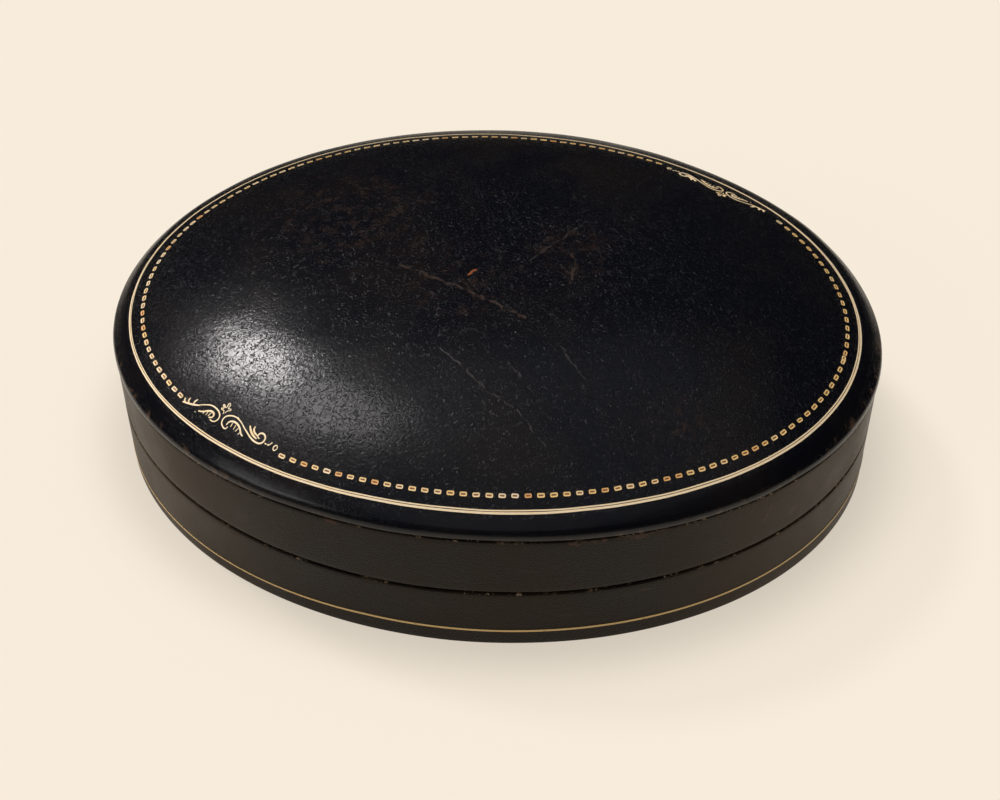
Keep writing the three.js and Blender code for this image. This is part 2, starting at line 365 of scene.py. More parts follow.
def rubMask(wall, rubs, width):
    radius = sideWear["wallRadius"]
    pairs = [[(radians(angle) * radius, height) for angle, height in rub] for rub in rubs]
    return lineMask(wall, pairs, width)


def sideLeatherFinish():
    material, shader, point = newMaterial("sideLeather", IOR=1.20)
    height = axisOf(point, "Z")
    cloud = noiseAt(point, 55.0, 5.0, 0.6)
    colour = mixColour(fade(cloud, 0.35, 0.7), sideWear["black"], sideWear["brownBlack"])
    along = calc("DIVIDE", axisOf(point, "X"), halfLength)
    # browner at the two ends: handling wear, and painted sheen standing in for the bright reflection the
    # ends catch at a glancing angle
    wearAndSheen = fade(calc("ABSOLUTE", along), 0.35, 0.95, 0.0, 0.6)
    colour = mixColour(wearAndSheen, colour, sideWear["wearAndSheen"])
    # the band's upper edge follows the shoulder down towards the ends
    raised = plus(height, times(along, along, lidForm["drop"] + lidForm["dip"]))
    levels = [(height, 0.0), (height, baseRim), (height, lidRim), (raised, bandTop)]
    reaches = []
    for reach in (sideWear["edgeReach"], sideWear["fleckReach"]):
        edges = []
        for value, level in levels:
            away = calc("ABSOLUTE", minus(value, level))
            edges.append(fade(away, reach * mm, 0.1 * mm))
        reaches.append(brightest(edges))
    outside = fade(ovalShare(point), 0.970, 0.988)
    chips = fade(noiseAt(point, 240.0, 5.0, 0.7), 0.55, 0.68)
    rims = times(reaches[0], chips, outside)
    colour = mixColour(times(rims, 0.7), colour, sideWear["scuff"])
    specks = fade(noiseAt(point, 800.0, 4.0, 0.7), 0.56, 0.63)
    patches = fade(noiseAt(point, 60.0), 0.44, 0.57)
    patches = calc("MAXIMUM", patches, fade(along, 0.1, 0.5))
    flecks = times(reaches[1], specks, patches, outside)
    colour = mixColour(flecks, colour, sideWear["fleck"])
    # drawn out scuffs along the wall
    stretched = vector("MULTIPLY", point, (1, 1, 5))
    drawn = fade(noiseAt(stretched, 120.0, 6.0, 0.72, 0.4), 0.60, 0.75)
    colour = mixColour(times(drawn, 0.35), colour, sideWear["scuff"])
    # slanting rubs on the lid's right end and brown ones under its shoulder
    wall = wobbled(wallPoint(point), point, 300.0, 3.0, sideWear["wobble"] * mm)
    broken = times(fade(noiseAt(point, 420.0, 5.0, 0.7), 0.44, 0.62), outside)
    slanting = times(rubMask(wall, sideWear["rubs"], sideWear["rubWidth"]), broken)
    colour = mixColour(times(slanting, 0.6), colour, sideWear["scuff"])
    under = times(rubMask(wall, sideWear["topRubs"], sideWear["topRubWidth"]), broken)
    colour = mixColour(times(under, 0.7), colour, sideWear["brown"])
    paint(shader, colour, plus(fade(cloud, 0.3, 0.7, 0.38, 0.50), times(rims, 0.25)))
    cells = addNode(point, "TexVoronoi", {"Vector": point, "Scale": 1700.0}, feature="DISTANCE_TO_EDGE")
    grain = fade(cells.outputs["Distance"], 0.02, 0.3)
    relief = plus(times(grain, 0.3), noiseAt(point, 70.0, 4.0))
    relief = minus(relief, times(rims, 0.3))
    bumped(shader, relief, 0.12 * mm)
    return material


# gold leaf: pale, with orange worn places; tint is each stroke's own share of orange
giltTone = {
    "pale": (0.88, 0.72, 0.49, 1),
    "yellow": (0.86, 0.58, 0.22, 1),
    "orange": (0.72, 0.33, 0.10, 1),
    "bare": (0.055, 0.030, 0.016, 1),
    "hollow": (0.030, 0.012, 0.005, 1),
    "hollowLight": (0.34, 0.13, 0.035, 1),
}


def giltFinish(name, wear, shadeAndWear):
    material, shader, point = newMaterial(name, Metallic=0.08, Roughness=0.45)
    tint = addNode(shader, "Attribute", attribute_name="tint").outputs["Fac"]
    speckle = noiseAt(point, 900.0, 4.0, 0.65)
    colour = mixColour(fade(tint, 0.0, 0.5), giltTone["pale"], giltTone["yellow"])
    colour = mixColour(fade(tint, 0.5, 1.0), colour, giltTone["orange"])
    colour = mixColour(fade(speckle, 0.3, 0.75, 0.0, 0.4), colour, giltTone["yellow"])
    # the all-over share toward bare leather darkens the whole gilt: on the foot line this is wear and
    # painted shade
    wearAndShade = fade(noiseAt(point, 420.0, 5.0, 0.7), 0.70 - wear, 0.80 - wear, shadeAndWear, 1.0)
    paint(shader, mixColour(wearAndShade, colour, giltTone["bare"]))
    bumped(shader, speckle, 0.05 * mm, 0.6)
    return material


def hollowGiltFinish():
    material, shader, point = newMaterial("giltHollow", Metallic=0.3, Roughness=0.55)
    paint(shader, mixColour(noiseAt(point, 1500.0), giltTone["hollow"], giltTone["hollowLight"]))
    return material


metalTone = {
    "brass": (0.66, 0.46, 0.17, 1),
    "tarnish": (0.27, 0.165, 0.06, 1),
    "steel": (0.42, 0.41, 0.40, 1),
    "rust": (0.16, 0.10, 0.07, 1),
}


def brassFinish():
    material, shader, point = newMaterial("brass", Metallic=1.0)
    tarnish = fade(noiseAt(point, 260.0, 5.0, 0.65), 0.42, 0.7)
    colour = mixColour(tarnish, metalTone["brass"], metalTone["tarnish"])
    paint(shader, colour, fade(tarnish, 0.0, 1.0, 0.28, 0.5))
    bumped(shader, noiseAt(vector("MULTIPLY", point, (1, 14, 14)), 420.0), 0.02 * mm)
    return material


def steelFinish():
    material, shader, point = newMaterial("steel", Metallic=1.0)
    rust = fade(noiseAt(point, 500.0, 4.0), 0.55, 0.75)
    colour = mixColour(rust, metalTone["steel"], metalTone["rust"])
    paint(shader, colour, fade(rust, 0.0, 1.0, 0.3, 0.6))
    return material


def woodFinish(name, light, dark):
    material, shader, point = newMaterial(name)
    drawn = vector("MULTIPLY", point, (1, 4, 16))
    rings = noiseAt(drawn, 55.0, 6.0, 0.6, 0.8)
    pores = noiseAt(drawn, 400.0)
    colour = mixColour(fade(rings, 0.32, 0.68), light, dark)
    colour = mixColour(fade(pores, 0.56, 0.7, 0.0, 0.5), colour, dark)
    paint(shader, colour, fade(rings, 0.3, 0.7, 0.45, 0.6))
    bumped(shader, pores, 0.05 * mm)
    return material


velvetTone = {
    "dark": (0.058, 0.0042, 0.0090, 1),
    "light": (0.125, 0.0105, 0.0190, 1),
    "deep": (0.032, 0.0024, 0.0050, 1),
    "sheen": (0.85, 0.32, 0.36, 1),
}


def velvetFinish():
    material, shader, point = newMaterial("velvet", Roughness=0.85, Sheen_Weight=0.7, Sheen_Roughness=0.35)
    shader.inputs["Sheen Tint"].default_value = velvetTone["sheen"]
    shader.inputs["Specular IOR Level"].default_value = 0.15
    nap = noiseAt(vector("MULTIPLY", point, (1, 0.55, 1)), 75.0, 4.0, 0.6, 0.5)
    pile = noiseAt(point, 2600.0, 2.0)
    colour = mixColour(fade(nap, 0.34, 0.66), velvetTone["dark"], velvetTone["light"])
    paint(shader, mixColour(fade(pile, 0.3, 0.7, 0.0, 0.45), colour, velvetTone["deep"]))
    bumped(shader, plus(times(pile, 0.5), nap), 0.18 * mm)
    return material


silkTone = {
    "fresh": (0.83, 0.72, 0.52, 1),
    "aged": (0.73, 0.59, 0.39, 1),
    "thread": (0.36, 0.26, 0.14, 1),
    "foxed": (0.27, 0.15, 0.06, 1),
}


def silkFinish():
    material, shader, point = newMaterial("silk", Roughness=0.34, Sheen_Weight=0.35, Sheen_Roughness=0.4)
    age = noiseAt(point, 32.0, 5.0, 0.6)
    colour = mixColour(fade(age, 0.36, 0.7), silkTone["fresh"], silkTone["aged"])
    warp = {"Vector": point, "Scale": 900.0, "Distortion": 1.5, "Detail": 2.0}
    weft = {"Vector": point, "Scale": 650.0, "Distortion": 1.0}
    across = addNode(point, "TexWave", warp).outputs[1]
    along = addNode(point, "TexWave", weft, bands_direction="Y").outputs[1]
    weave = plus(across, times(along, 0.6))
    colour = mixColour(fade(weave, 0.2, 1.4, 0.0, 0.22), colour, silkTone["thread"])
    foxing = fade(noiseAt(point, 160.0, 4.0), 0.66, 0.74)
    paint(shader, mixColour(times(foxing, 0.22), colour, silkTone["foxed"]))
    bumped(shader, weave, 0.03 * mm)
    return material


def waddingFinish():
    material, shader, point = newMaterial("wadding", Roughness=0.95)
    tufts = noiseAt(point, 240.0, 6.0, 0.7, 1.2)
    paint(shader, mixColour(tufts, (0.48, 0.40, 0.27, 1), (0.70, 0.64, 0.50, 1)))
    bumped(shader, tufts, 0.5 * mm)
    return material


topLeather = topLeatherFinish()
sideLeather = sideLeatherFinish()
brightGilt = giltFinish("brightGilt", 0.0, 0.0)
# the foot line's gilt, darkened all over: wear and painted shade
wornShadedGilt = giltFinish("wornShadedGilt", 0.10, 0.40)
hollowGilt = hollowGiltFinish()
brass = brassFinish()
steel = steelFinish()
stainedBeech = woodFinish("stainedBeech", (0.070, 0.040, 0.022, 1), (0.034, 0.018, 0.010, 1))
collarWood = woodFinish("collarWood", (0.155, 0.062, 0.030, 1), (0.060, 0.022, 0.012, 1))
velvet = velvetFinish()
silk = silkFinish()
woolWadding = waddingFinish()
print("finishes made")


# mesh helpers
def clamped(value):
    return min(1, max(0, value))


def stretchToOval(bm, edgeInset):
    for vert in bm.verts:
        radius = hypot(vert.co.x, vert.co.y)
        if radius > 1e-9:
            spread = min(1, radius / (halfWidth - edgeInset))
            vert.co.x += (halfLength - halfWidth) * spread * vert.co.x / radius


# share of the way up the lid's wall
def wallShare(height):
    return clamped((height - lidRim) / (shoulder - lidRim))


def settleEnds(bm):
    for vert in bm.verts:
        vert.co.z -= lidForm["drop"] * wallShare(vert.co.z) * (vert.co.x / halfLength) ** 2


# the shoulder's outermost few millimetres hang lower still towards the ends
def dipEnds(bm):
    for vert in bm.verts:
        out = hypot(vert.co.x / halfLength, vert.co.y / halfWidth)
        near = clamped((out - lidForm["dipFrom"]) / lidForm["dipWithin"])
        sink = near * near * (3 - 2 * near) * wallShare(vert.co.z) ** 2
        vert.co.z -= lidForm["dip"] * sink * (vert.co.x / halfLength) ** 2


mergeWithin = 0.001 * mm
fullTurn = 2 * pi


# spins a section of (inset, height) points about the case's axis, then stretches it to the oval
def spinOval(section, edgeInset, steps=240, closed=True):
    bm = bmesh.new()
    verts = [bm.verts.new((0, -(halfWidth - inset), height)) for inset, height in section]
    edges = [bm.edges.new(pair) for pair in zip(verts, verts[1:])]
    if closed:
        edges.append(bm.edges.new((verts[-1], verts[0])))
    turn = {"axis": (0, 0, 1), "cent": (0, 0, 0), "angle": fullTurn}
    bmesh.ops.spin(bm, geom=verts + edges, steps=steps, use_merge=True, **turn)
    bmesh.ops.remove_doubles(bm, verts=bm.verts, dist=mergeWithin)
    bmesh.ops.recalc_face_normals(bm, faces=bm.faces)
    stretchToOval(bm, edgeInset)
    return bm


def evenly(start, end, count):
    return [tuple(a + (b - a) * i / count for a, b in zip(start, end)) for i in range(count)]


def softenEdges(bm, width, segments=3, limit=50, where=None):
    edges = []
    for edge in bm.edges:
        sharp = edge.calc_face_angle(0) > radians(limit)
        middle = (edge.verts[0].co + edge.verts[1].co) / 2
        if sharp and (where is None or where(middle)):
            edges.append(edge)
    rounding = {"affect": "EDGES", "segments": segments, "profile": 0.5, "material": -1}
    bmesh.ops.bevel(bm, geom=edges, offset=width, offset_type="OFFSET", clamp_overlap=True, **rounding)


# hand worked leather isn't dead true: verts sink along their normals by up to depth
def rumple(bm, depth, size, seed):
    bm.normal_update()
    shift = Vector((seed * 3.7, seed * 1.3, seed * 2.1))
    for vert in bm.verts:
        sink = 0.5 + 0.5 * noise.noise(vert.co / size + shift)
        vert.co -= vert.normal * depth * sink


def relax(bm, rounds):
    axes = {"use_axis_x": True, "use_axis_y": True, "use_axis_z": True}
    for _ in range(rounds):
        bmesh.ops.smooth_vert(bm, verts=bm.verts, factor=0.5, **axes)


def shadeSmooth(bm, limit=38):
    bm.normal_update()
    for face in bm.faces:
        face.smooth = True
    for edge in bm.edges:
        edge.smooth = edge.calc_face_angle(0) < radians(limit)


def newObject(bm, name):
    mesh = bpy.data.meshes.new(name)
    bm.to_mesh(mesh)
    bm.free()
    thing = bpy.data.objects.new(name, mesh)
    scene.collection.objects.link(thing)
    return thing


def newPiece(bm, name, body, materials, replaces=()):
    shadeSmooth(bm)
    piece = newObject(bm, name)
    for material in materials:
        piece.data.materials.append(material)
    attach(piece, body)
    if replaces:
        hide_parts(*replaces)
    return piece


def applyModifiers(piece):
    bpy.context.view_layer.update()
    settled = piece.evaluated_get(bpy.context.evaluated_depsgraph_get())
    mesh = bpy.data.meshes.new_from_object(settled)
    piece.modifiers.clear()
    piece.data = mesh


# cuts a box out of a piece
def cutBox(piece, low, high):
    bm = bmesh.new()
    bmesh.ops.create_cube(bm, size=1)
    bmesh.ops.scale(bm, vec=Vector(high) - Vector(low), verts=bm.verts)
    bmesh.ops.translate(bm, vec=(Vector(high) + Vector(low)) / 2, verts=bm.verts)
    cutter = newObject(bm, "cutter")
    cut = piece.modifiers.new("cut", "BOOLEAN")
    cut.operation = "DIFFERENCE"
    cut.solver = "EXACT"
    cut.object = cutter
    applyModifiers(piece)
    bpy.data.objects.remove(cutter)


def reshade(piece):
    bm = bmesh.new()
    bm.from_mesh(piece.data)
    shadeSmooth(bm)
    bm.to_mesh(piece.data)
    bm.free()


# hinge notch and leaf beds, with the clearances of the wooden parts
hingeCut = {
    "halfLength": 18.35 * mm,
    "notchHalfHeight": 2.6 * mm,
    "notchFront": hinge[1] - 1.85 * mm,
    "notchBack": halfWidth + 2 * mm,
    "bedFront": 49.35 * mm,
    "bedDepth": 1.45 * mm,
}


def cutHinge(piece, side):
    seam = hinge[2]
    reach = hingeCut["halfLength"]
    notch = hingeCut["notchHalfHeight"]
    low = (-reach, hingeCut["notchFront"], seam - notch)
    high = (reach, hingeCut["notchBack"], seam + notch)
    cutBox(piece, low, high)
    bed = sorted((seam, seam + side * hingeCut["bedDepth"]))
    cutBox(piece, (-reach, hingeCut["bedFront"], bed[0]), (reach, hinge[1], bed[1]))
    reshade(piece)


# lid: domed top leather over a layer of wadding
def domeSection(inset, steps, rollSteps=0):
    roll = max(lidForm["roll"] - inset, 0.0)
    turn = lidForm["rollTurn"]
    mean = (halfLength + halfWidth) / 2
    edge = 1 - roll * (1 - cos(turn)) / mean
    points = [(1.0, shoulder)]
    top = crownTop - inset
    for i in range(rollSteps):
        angle = turn * i / rollSteps
        height = top - lidForm["fall"] * edge ** 3 - roll * (sin(turn) - sin(angle))
        points.append((1 - roll * (1 - cos(angle)) / mean, height))
    for i in range(steps + 1):
        spread = edge * (1 - i / steps)
        points.append((spread, top - lidForm["fall"] * spread ** 3))
    above = [points[0]] + [place for place in points[1:] if place[1] > shoulder + 0.02 * mm]
    return [(halfWidth - (halfWidth - inset) * spread, height) for spread, height in above]


lidSkin = {
    "thickness": 1.2 * mm,
    "domeSteps": 64,
    "rollSteps": 10,
    "innerSteps": 16,
    "innerRollSteps": 4,
    "steps": 288,
    "edge": 0.3 * mm,
    "nose": 0.32 * mm,
    "rumples": [(0.22 * mm, 21 * mm, 1), (0.10 * mm, 7 * mm, 2)],  # depth, size, seed
}


def makeLidTop():
    outer = domeSection(0.0, lidSkin["domeSteps"], lidSkin["rollSteps"])
    inner = domeSection(lidSkin["thickness"], lidSkin["innerSteps"], lidSkin["innerRollSteps"])
    bm = spinOval(outer[::-1] + inner, lidSkin["edge"], lidSkin["steps"], closed=False)
    softenEdges(bm, lidSkin["nose"], 4)
    dipEnds(bm)
    settleEnds(bm)
    for dents in lidSkin["rumples"]:
        rumple(bm, *dents)
    surface = BVHTree.FromBMesh(bm)
    newPiece(bm, "lid_top_skin", "lid", [topLeather], ["lid_top_leather"])
    return surface


lidSurface = makeLidTop()
aboveLid = crownTop + 20 * mm


def onLid(x, y, lift=0.0):
    place, normal, _, _ = lidSurface.ray_cast(Vector((x, y, aboveLid)), Vector((0, 0, -1)))
    return place + normal * lift


wadCover = {
    "outer": 1.5 * mm,
    "inner": 2.4 * mm,
    "outerSteps": 28,
    "outerRollSteps": 3,
    "innerSteps": 20,
    "steps": 120,
    "lumps": (0.2 * mm, 5 * mm, 4),  # depth, size, seed
}


def makeWadding():
    section = domeSection(wadCover["outer"], wadCover["outerSteps"], wadCover["outerRollSteps"])[::-1]
    section += domeSection(wadCover["inner"], wadCover["innerSteps"])[1:]
    bm = spinOval(section, wadCover["outer"], wadCover["steps"], closed=False)
    dipEnds(bm)
    settleEnds(bm)
    rumple(bm, *wadCover["lumps"])
    newPiece(bm, "lid_wadding", "lid", [woolWadding], ["lid_padding"])


makeWadding()
print("lid top made")


# side walls: leather bands turned in over the rims and under the foot
wallBand = {
    "thickness": 1.0 * mm,
    "turnIn": hoopInset - 0.25 * mm,  # the turned-in edge ends just short of the collar
    "footTurn": 6.0 * mm,
    "rimRound": 0.45 * mm,
    "footRound": 0.3 * mm,
    "levels": 10,
    "baseRumple": (0.10 * mm, 17 * mm, 5),  # depth, size, seed
    "lidRumple": (0.12 * mm, 15 * mm, 6),
}


def outerCorner(place):
    return (place.x / halfLength) ** 2 + (place.y / halfWidth) ** 2 > 0.97


# rounds a band's outer corners below or above a height
def roundCorners(bm, width, segments, height, below):
    softenEdges(bm, width, segments, where=lambda p: outerCorner(p) and (p.z < height) == below)


def makeBaseBand():
    t = wallBand["thickness"]
    turnIn = wallBand["turnIn"]
    foot = lapStep + wallBand["footTurn"]
    section = evenly((lapStep, 0.0), (lapStep, baseRim), wallBand["levels"])
    section += [(lapStep, baseRim), (turnIn, baseRim), (turnIn, baseRim - t)]
    section += [(lapStep + t, baseRim - t), (lapStep + t, t), (foot, t), (foot, 0.0)]
    bm = spinOval(section, hoopInset)
    roundCorners(bm, wallBand["footRound"], 4, baseRim / 2, True)
    roundCorners(bm, wallBand["rimRound"], 4, baseRim / 2, False)
    rumple(bm, *wallBand["baseRumple"])
    band = newPiece(bm, "base_side_skin", "base", [sideLeather], ["base_side_leather"])
    cutHinge(band, -1)


def makeLidBand():
    t = wallBand["thickness"]
    turnIn = wallBand["turnIn"]
    section = evenly((lapStep, lidRim), (lapStep, bandTop), wallBand["levels"])
    section += [(lapStep, bandTop), (lapStep + t, bandTop), (lapStep + t, lidRim + t)]
    section += [(turnIn, lidRim + t), (turnIn, lidRim)]
    bm = spinOval(section, hoopInset)
    middle = (lidRim + bandTop) / 2
    roundCorners(bm, wallBand["rimRound"], 4, middle, True)
    roundCorners(bm, wallBand["footRound"], 3, middle, False)
    dipEnds(bm)
    settleEnds(bm)
    rumple(bm, *wallBand["lidRumple"])
    band = newPiece(bm, "lid_side_skin", "lid", [sideLeather], ["lid_side_leather"])
    cutHinge(band, 1)


makeBaseBand()
makeLidBand()


solePatch = {"inset": 6.55 * mm, "thickness": 1.0 * mm, "round": 0.3 * mm, "rings": 12, "steps": 160}


def makeSole():
    inset = solePatch["inset"]
    top = solePatch["thickness"]
    rings = evenly((halfWidth, 0.0), (inset, 0.0), solePatch["rings"])
    section = rings + [(inset, 0.0), (inset, top), (halfWidth, top)]
    bm = spinOval(section, inset, solePatch["steps"], closed=False)
    softenEdges(bm, solePatch["round"], 3)
    newPiece(bm, "base_sole_skin", "base", [sideLeather], ["base_bottom_leather"])


makeSole()
print("leather bands made")


# gilt tooling on the lid: a double fillet and a ring of hollow dashes, set a little off centre
tooling = {
    "centre": (-0.36 * mm, -1.45 * mm),
    "fillet": (70.3 * mm, 51.1 * mm),
    "ribbons": [(0.02 * mm, -0.34 * mm, 0.0), (0.37 * mm, 0.14 * mm, 0.12)],  # inner and outer inset, tint
    "ring": (67.75 * mm, 48.55 * mm),
    "filletSteps": 480,
    "wander": 0.05 * mm,
    "broadest": radians(-60),  # the fillet was struck hardest here, half as broad across from it
    "lift": 0.05 * mm,
    "thickness": 0.10 * mm,
}


# gilt meshes carry each stroke's share of orange as a tint
def giltMesh():
    bm = bmesh.new()
    bm.verts.layers.float.new("tint")
    return bm


def setTint(bm, verts, value):
    layer = bm.verts.layers.float["tint"]
    for vert in verts:
        vert[layer] = value


# a flat closed ribbon between two insets of the fillet's oval, laid on the lid
def filletRibbon(bm, innerInset, outerInset, seed):
    cx, cy = tooling["centre"]
    a, b = tooling["fillet"]
    loop = bmesh.ops.create_circle(bm, segments=tooling["filletSteps"], radius=1, cap_ends=False)["verts"]
    ring = list(dict.fromkeys(edge for vert in loop for edge in vert.link_edges))
    grown = bmesh.ops.extrude_edge_only(bm, edges=ring)["geom"]
    inner = [item for item in grown if isinstance(item, bmesh.types.BMVert)]
    for verts, inset in ((loop, outerInset), (inner, innerInset)):
        for vert in verts:
            wander = tooling["wander"] * noise.noise((vert.co.x * 9, vert.co.y * 9, seed))
            angle = atan2(vert.co.y, vert.co.x)
            broad = 0.75 + 0.25 * cos(angle - tooling["broadest"])
            x = cx + (a - inset * broad + wander) * vert.co.x
            y = cy + (b - inset * broad + wander) * vert.co.y
            vert.co = onLid(x, y, tooling["lift"])
    return loop + inner


def closeSheet(bm, thickness):
    bmesh.ops.recalc_face_normals(bm, faces=bm.faces)
    up = sum(face.normal.z for face in bm.faces)
    if up < 0:
        bmesh.ops.reverse_faces(bm, faces=bm.faces)
    bmesh.ops.solidify(bm, geom=list(bm.faces), thickness=thickness)


def makeFillet():
    bm = giltMesh()
    for seed, (inner, outer, tint) in enumerate(tooling["ribbons"], 1):
        setTint(bm, filletRibbon(bm, inner, outer, seed), tint)
    closeSheet(bm, tooling["thickness"])
    newPiece(bm, "lid_gilt_fillet", "lid", [brightGilt])


makeFillet()

dashTool = {
    "length": 1.28 * mm,
    "width": 0.70 * mm,
    "corner": 0.20 * mm,
    "rim": 0.22 * mm,
    "dish": 0.03 * mm,
    "arcs": [(-120.4, 35.4, 71), (63.1, 215.1, 76)],  # first and last angle, count
    "doubled": 52,  # this dash of the front arc was struck twice
    "doubledBy": (0.75 * mm, 0.12),  # how far on and how much turned
    "sway": 3.5,  # degrees either way
    "sizes": (0.94, 1.05),
    "orange": (0.08, 0.85),  # how many dashes are orange, and their tint
}


# a point of the ring's oval, with the direction of travel
def ringPoint(angle):
    a, b = tooling["ring"]
    cx, cy = tooling["centre"]
    place = Vector((cx + a * cos(angle), cy + b * sin(angle)))
    return place, atan2(b * cos(angle), -a * sin(angle))


# points at even distances along the ring
def alongRing(start, end, count):
    fine = 4000
    points = [ringPoint(radians(start + (end - start) * i / fine)) for i in range(fine + 1)]
    walked = [0.0]
    for before, after in zip(points, points[1:]):
        walked.append(walked[-1] + (after[0] - before[0]).length)
    places = []
    i = 0
    for n in range(count):
        while i < fine and walked[i] < walked[-1] * n / (count - 1):
            i += 1
        places.append(points[i])
    return places


def makeDashMesh():
    bm = bmesh.new()
    verts = bmesh.ops.create_grid(bm, x_segments=1, y_segments=1, size=0.5)["verts"]
    bmesh.ops.scale(bm, vec=(dashTool["length"], dashTool["width"], 1), verts=verts)
    rounding = {"affect": "VERTICES", "segments": 2, "profile": 0.5, "material": -1}
    bmesh.ops.bevel(bm, geom=list(bm.verts), offset=dashTool["corner"], offset_type="OFFSET", **rounding)
    top = bm.faces[:]
    hollow = {"thickness": dashTool["rim"], "depth": -dashTool["dish"], "use_even_offset": True}
    bmesh.ops.inset_individual(bm, faces=top, **hollow)
    for face in top:
        face.material_index = 1
    bmesh.ops.solidify(bm, geom=list(bm.faces), thickness=tooling["thickness"])
    mesh = bpy.data.meshes.new("dashTool")
    bm.to_mesh(mesh)
    bm.free()
    return mesh


# adds a flat mesh to the lid's gilding, turned to a heading
def layOnLid(bm, mesh, place, heading, tint, size=1.0, lift=0.0, flatten=1.0):
    before = len(bm.verts)
    bm.from_mesh(mesh)
    bm.verts.ensure_lookup_table()
    laid = bm.verts[before:]
    for vert in laid:
        u = vert.co.x * size
        v = vert.co.y * size
        x = place.x + u * cos(heading) - v * sin(heading)
        y = place.y + u * sin(heading) + v * cos(heading)
        vert.co = onLid(x, y, lift + vert.co.z * flatten)
    setTint(bm, laid, tint)


def strikeDash(bm, tool, place, heading, tint):
    turn = heading + radians(random.uniform(-dashTool["sway"], dashTool["sway"]))
    size = random.uniform(*dashTool["sizes"])
    layOnLid(bm, tool, place, turn, tint, size, tooling["lift"])


def makeDashes():
    bm = giltMesh()
    tool = makeDashMesh()
    orangeShare, orangeTint = dashTool["orange"]
    onward, turned = dashTool["doubledBy"]
    for arc, (start, end, count) in enumerate(dashTool["arcs"]):
        for n, (place, heading) in enumerate(alongRing(start, end, count)):
            # yellower towards the right end
            yellower = clamped(0.5 + place.x / (100 * mm))
            tint = min(0.7, max(0.0, random.gauss(0.22 + 0.26 * yellower, 0.14)))
            if random.random() < orangeShare:
                tint = orangeTint
            strikeDash(bm, tool, place, heading, tint)
            if arc == 0 and n == dashTool["doubled"]:
                aside = Vector((cos(heading), sin(heading))) * onward
                strikeDash(bm, tool, place + aside, heading + turned, tint)
    bpy.data.meshes.remove(tool)
    newPiece(bm, "lid_gilt_dashes", "lid", [brightGilt, hollowGilt])


makeDashes()

# scroll ornament: pen strokes of (u, v) points in mm, u along the ring and v towards the lid's middle
scroll = {
    # where the two ornaments interrupt the ring, and how boldly each was struck
    "ornaments": [(-134.3, 0.66), (48.7, 0.86)],
    "flatten": 0.30,
    "deepestTint": 0.22,
    "strokes": [
        # left half: stem with its curl, acanthus leaf, inner leaf
        (0.20, [(-5.8, 1.1), (-4.6, 1.7), (-3.5, 2.1), (-2.2, 2.1), (-1.0, 1.7), (-0.5, 1.1),
                (-0.6, 0.4), (-1.1, 0.0), (-1.9, 0.0)]),
        (0.26, [(-9.3, 0.2), (-8.1, 0.4), (-6.8, 0.7), (-5.6, 1.1)]),
        (0.24, [(-8.6, 0.3), (-9.1, 0.6), (-9.3, 1.0)]),
        (0.24, [(-7.9, 0.5), (-8.3, 0.9), (-8.3, 1.4)]),
        (0.26, [(-6.9, 0.8), (-7.0, 1.2), (-6.7, 1.8)]),
        (0.26, [(-5.1, 0.2), (-4.2, 0.5), (-3.4, 1.0), (-2.5, 1.3), (-1.8, 1.0), (-1.8, 0.5), (-2.4, 0.2)]),
        (0.20, [(-3.9, 0.7), (-3.9, 0.2)]),
        (0.20, [(-3.2, 1.0), (-3.2, 0.3)]),
        (0.20, [(-2.5, 1.1), (-2.7, 0.3)]),
        (0.16, [(-5.7, -0.2), (-5.5, -0.2)]),
        # right half: curl and stem into the outer curl
        (0.20, [(2.2, 0.6), (2.0, 0.1), (1.2, 0.2), (0.5, 0.8), (0.5, 1.7), (1.2, 2.3),
                (2.2, 2.6), (3.5, 2.5), (5.0, 2.0)]),
        (0.24, [(4.6, 2.1), (6.3, 1.5), (7.6, 1.1), (8.9, 1.0), (9.8, 1.3), (10.1, 2.0),
                (9.8, 2.6), (9.0, 2.8), (8.5, 2.4), (8.6, 1.9), (9.1, 1.8)]),
        (0.30, [(8.6, 1.5), (7.5, 1.7), (6.5, 2.2), (5.9, 2.7)]),
        (0.28, [(8.4, 2.0), (7.5, 2.2), (7.0, 2.6), (6.9, 3.1)]),
        (0.26, [(1.7, 0.7), (1.8, 1.3), (2.3, 1.7), (3.4, 1.8), (4.5, 1.4), (5.3, 0.8), (5.9, 0.6)]),
        (0.20, [(2.6, 1.5), (2.7, 0.8)]),
        (0.20, [(3.4, 1.5), (3.5, 0.7)]),
        (0.20, [(4.2, 1.3), (4.1, 0.6)]),
        (0.18, [(5.0, 0.9), (4.9, 0.4)]),
        (0.16, [(3.5, 2.5), (2.7, 2.8)]),
        # small flower over the middle
        (0.15, [(-0.3, 1.9), (-0.5, 2.4), (-1.3, 2.6), (-0.9, 2.8), (-1.4, 3.3), (-0.6, 3.1),
                (-0.5, 4.0), (-0.1, 3.7), (-0.1, 3.2), (0.6, 3.2), (0.1, 2.7), (-0.1, 2.2)]),
        # three buds and a small ring before the dashes
        (0.26, [(10.5, 1.7), (10.9, 1.7)]),
        (0.26, [(11.1, 1.7), (11.5, 1.9)]),
        (0.24, [(11.5, 2.0), (11.7, 2.5)]),
        (0.17, [(13.2, 2.1), (12.8, 2.5), (12.4, 2.0), (12.8, 1.6), (13.2, 2.1)]),
    ],
}


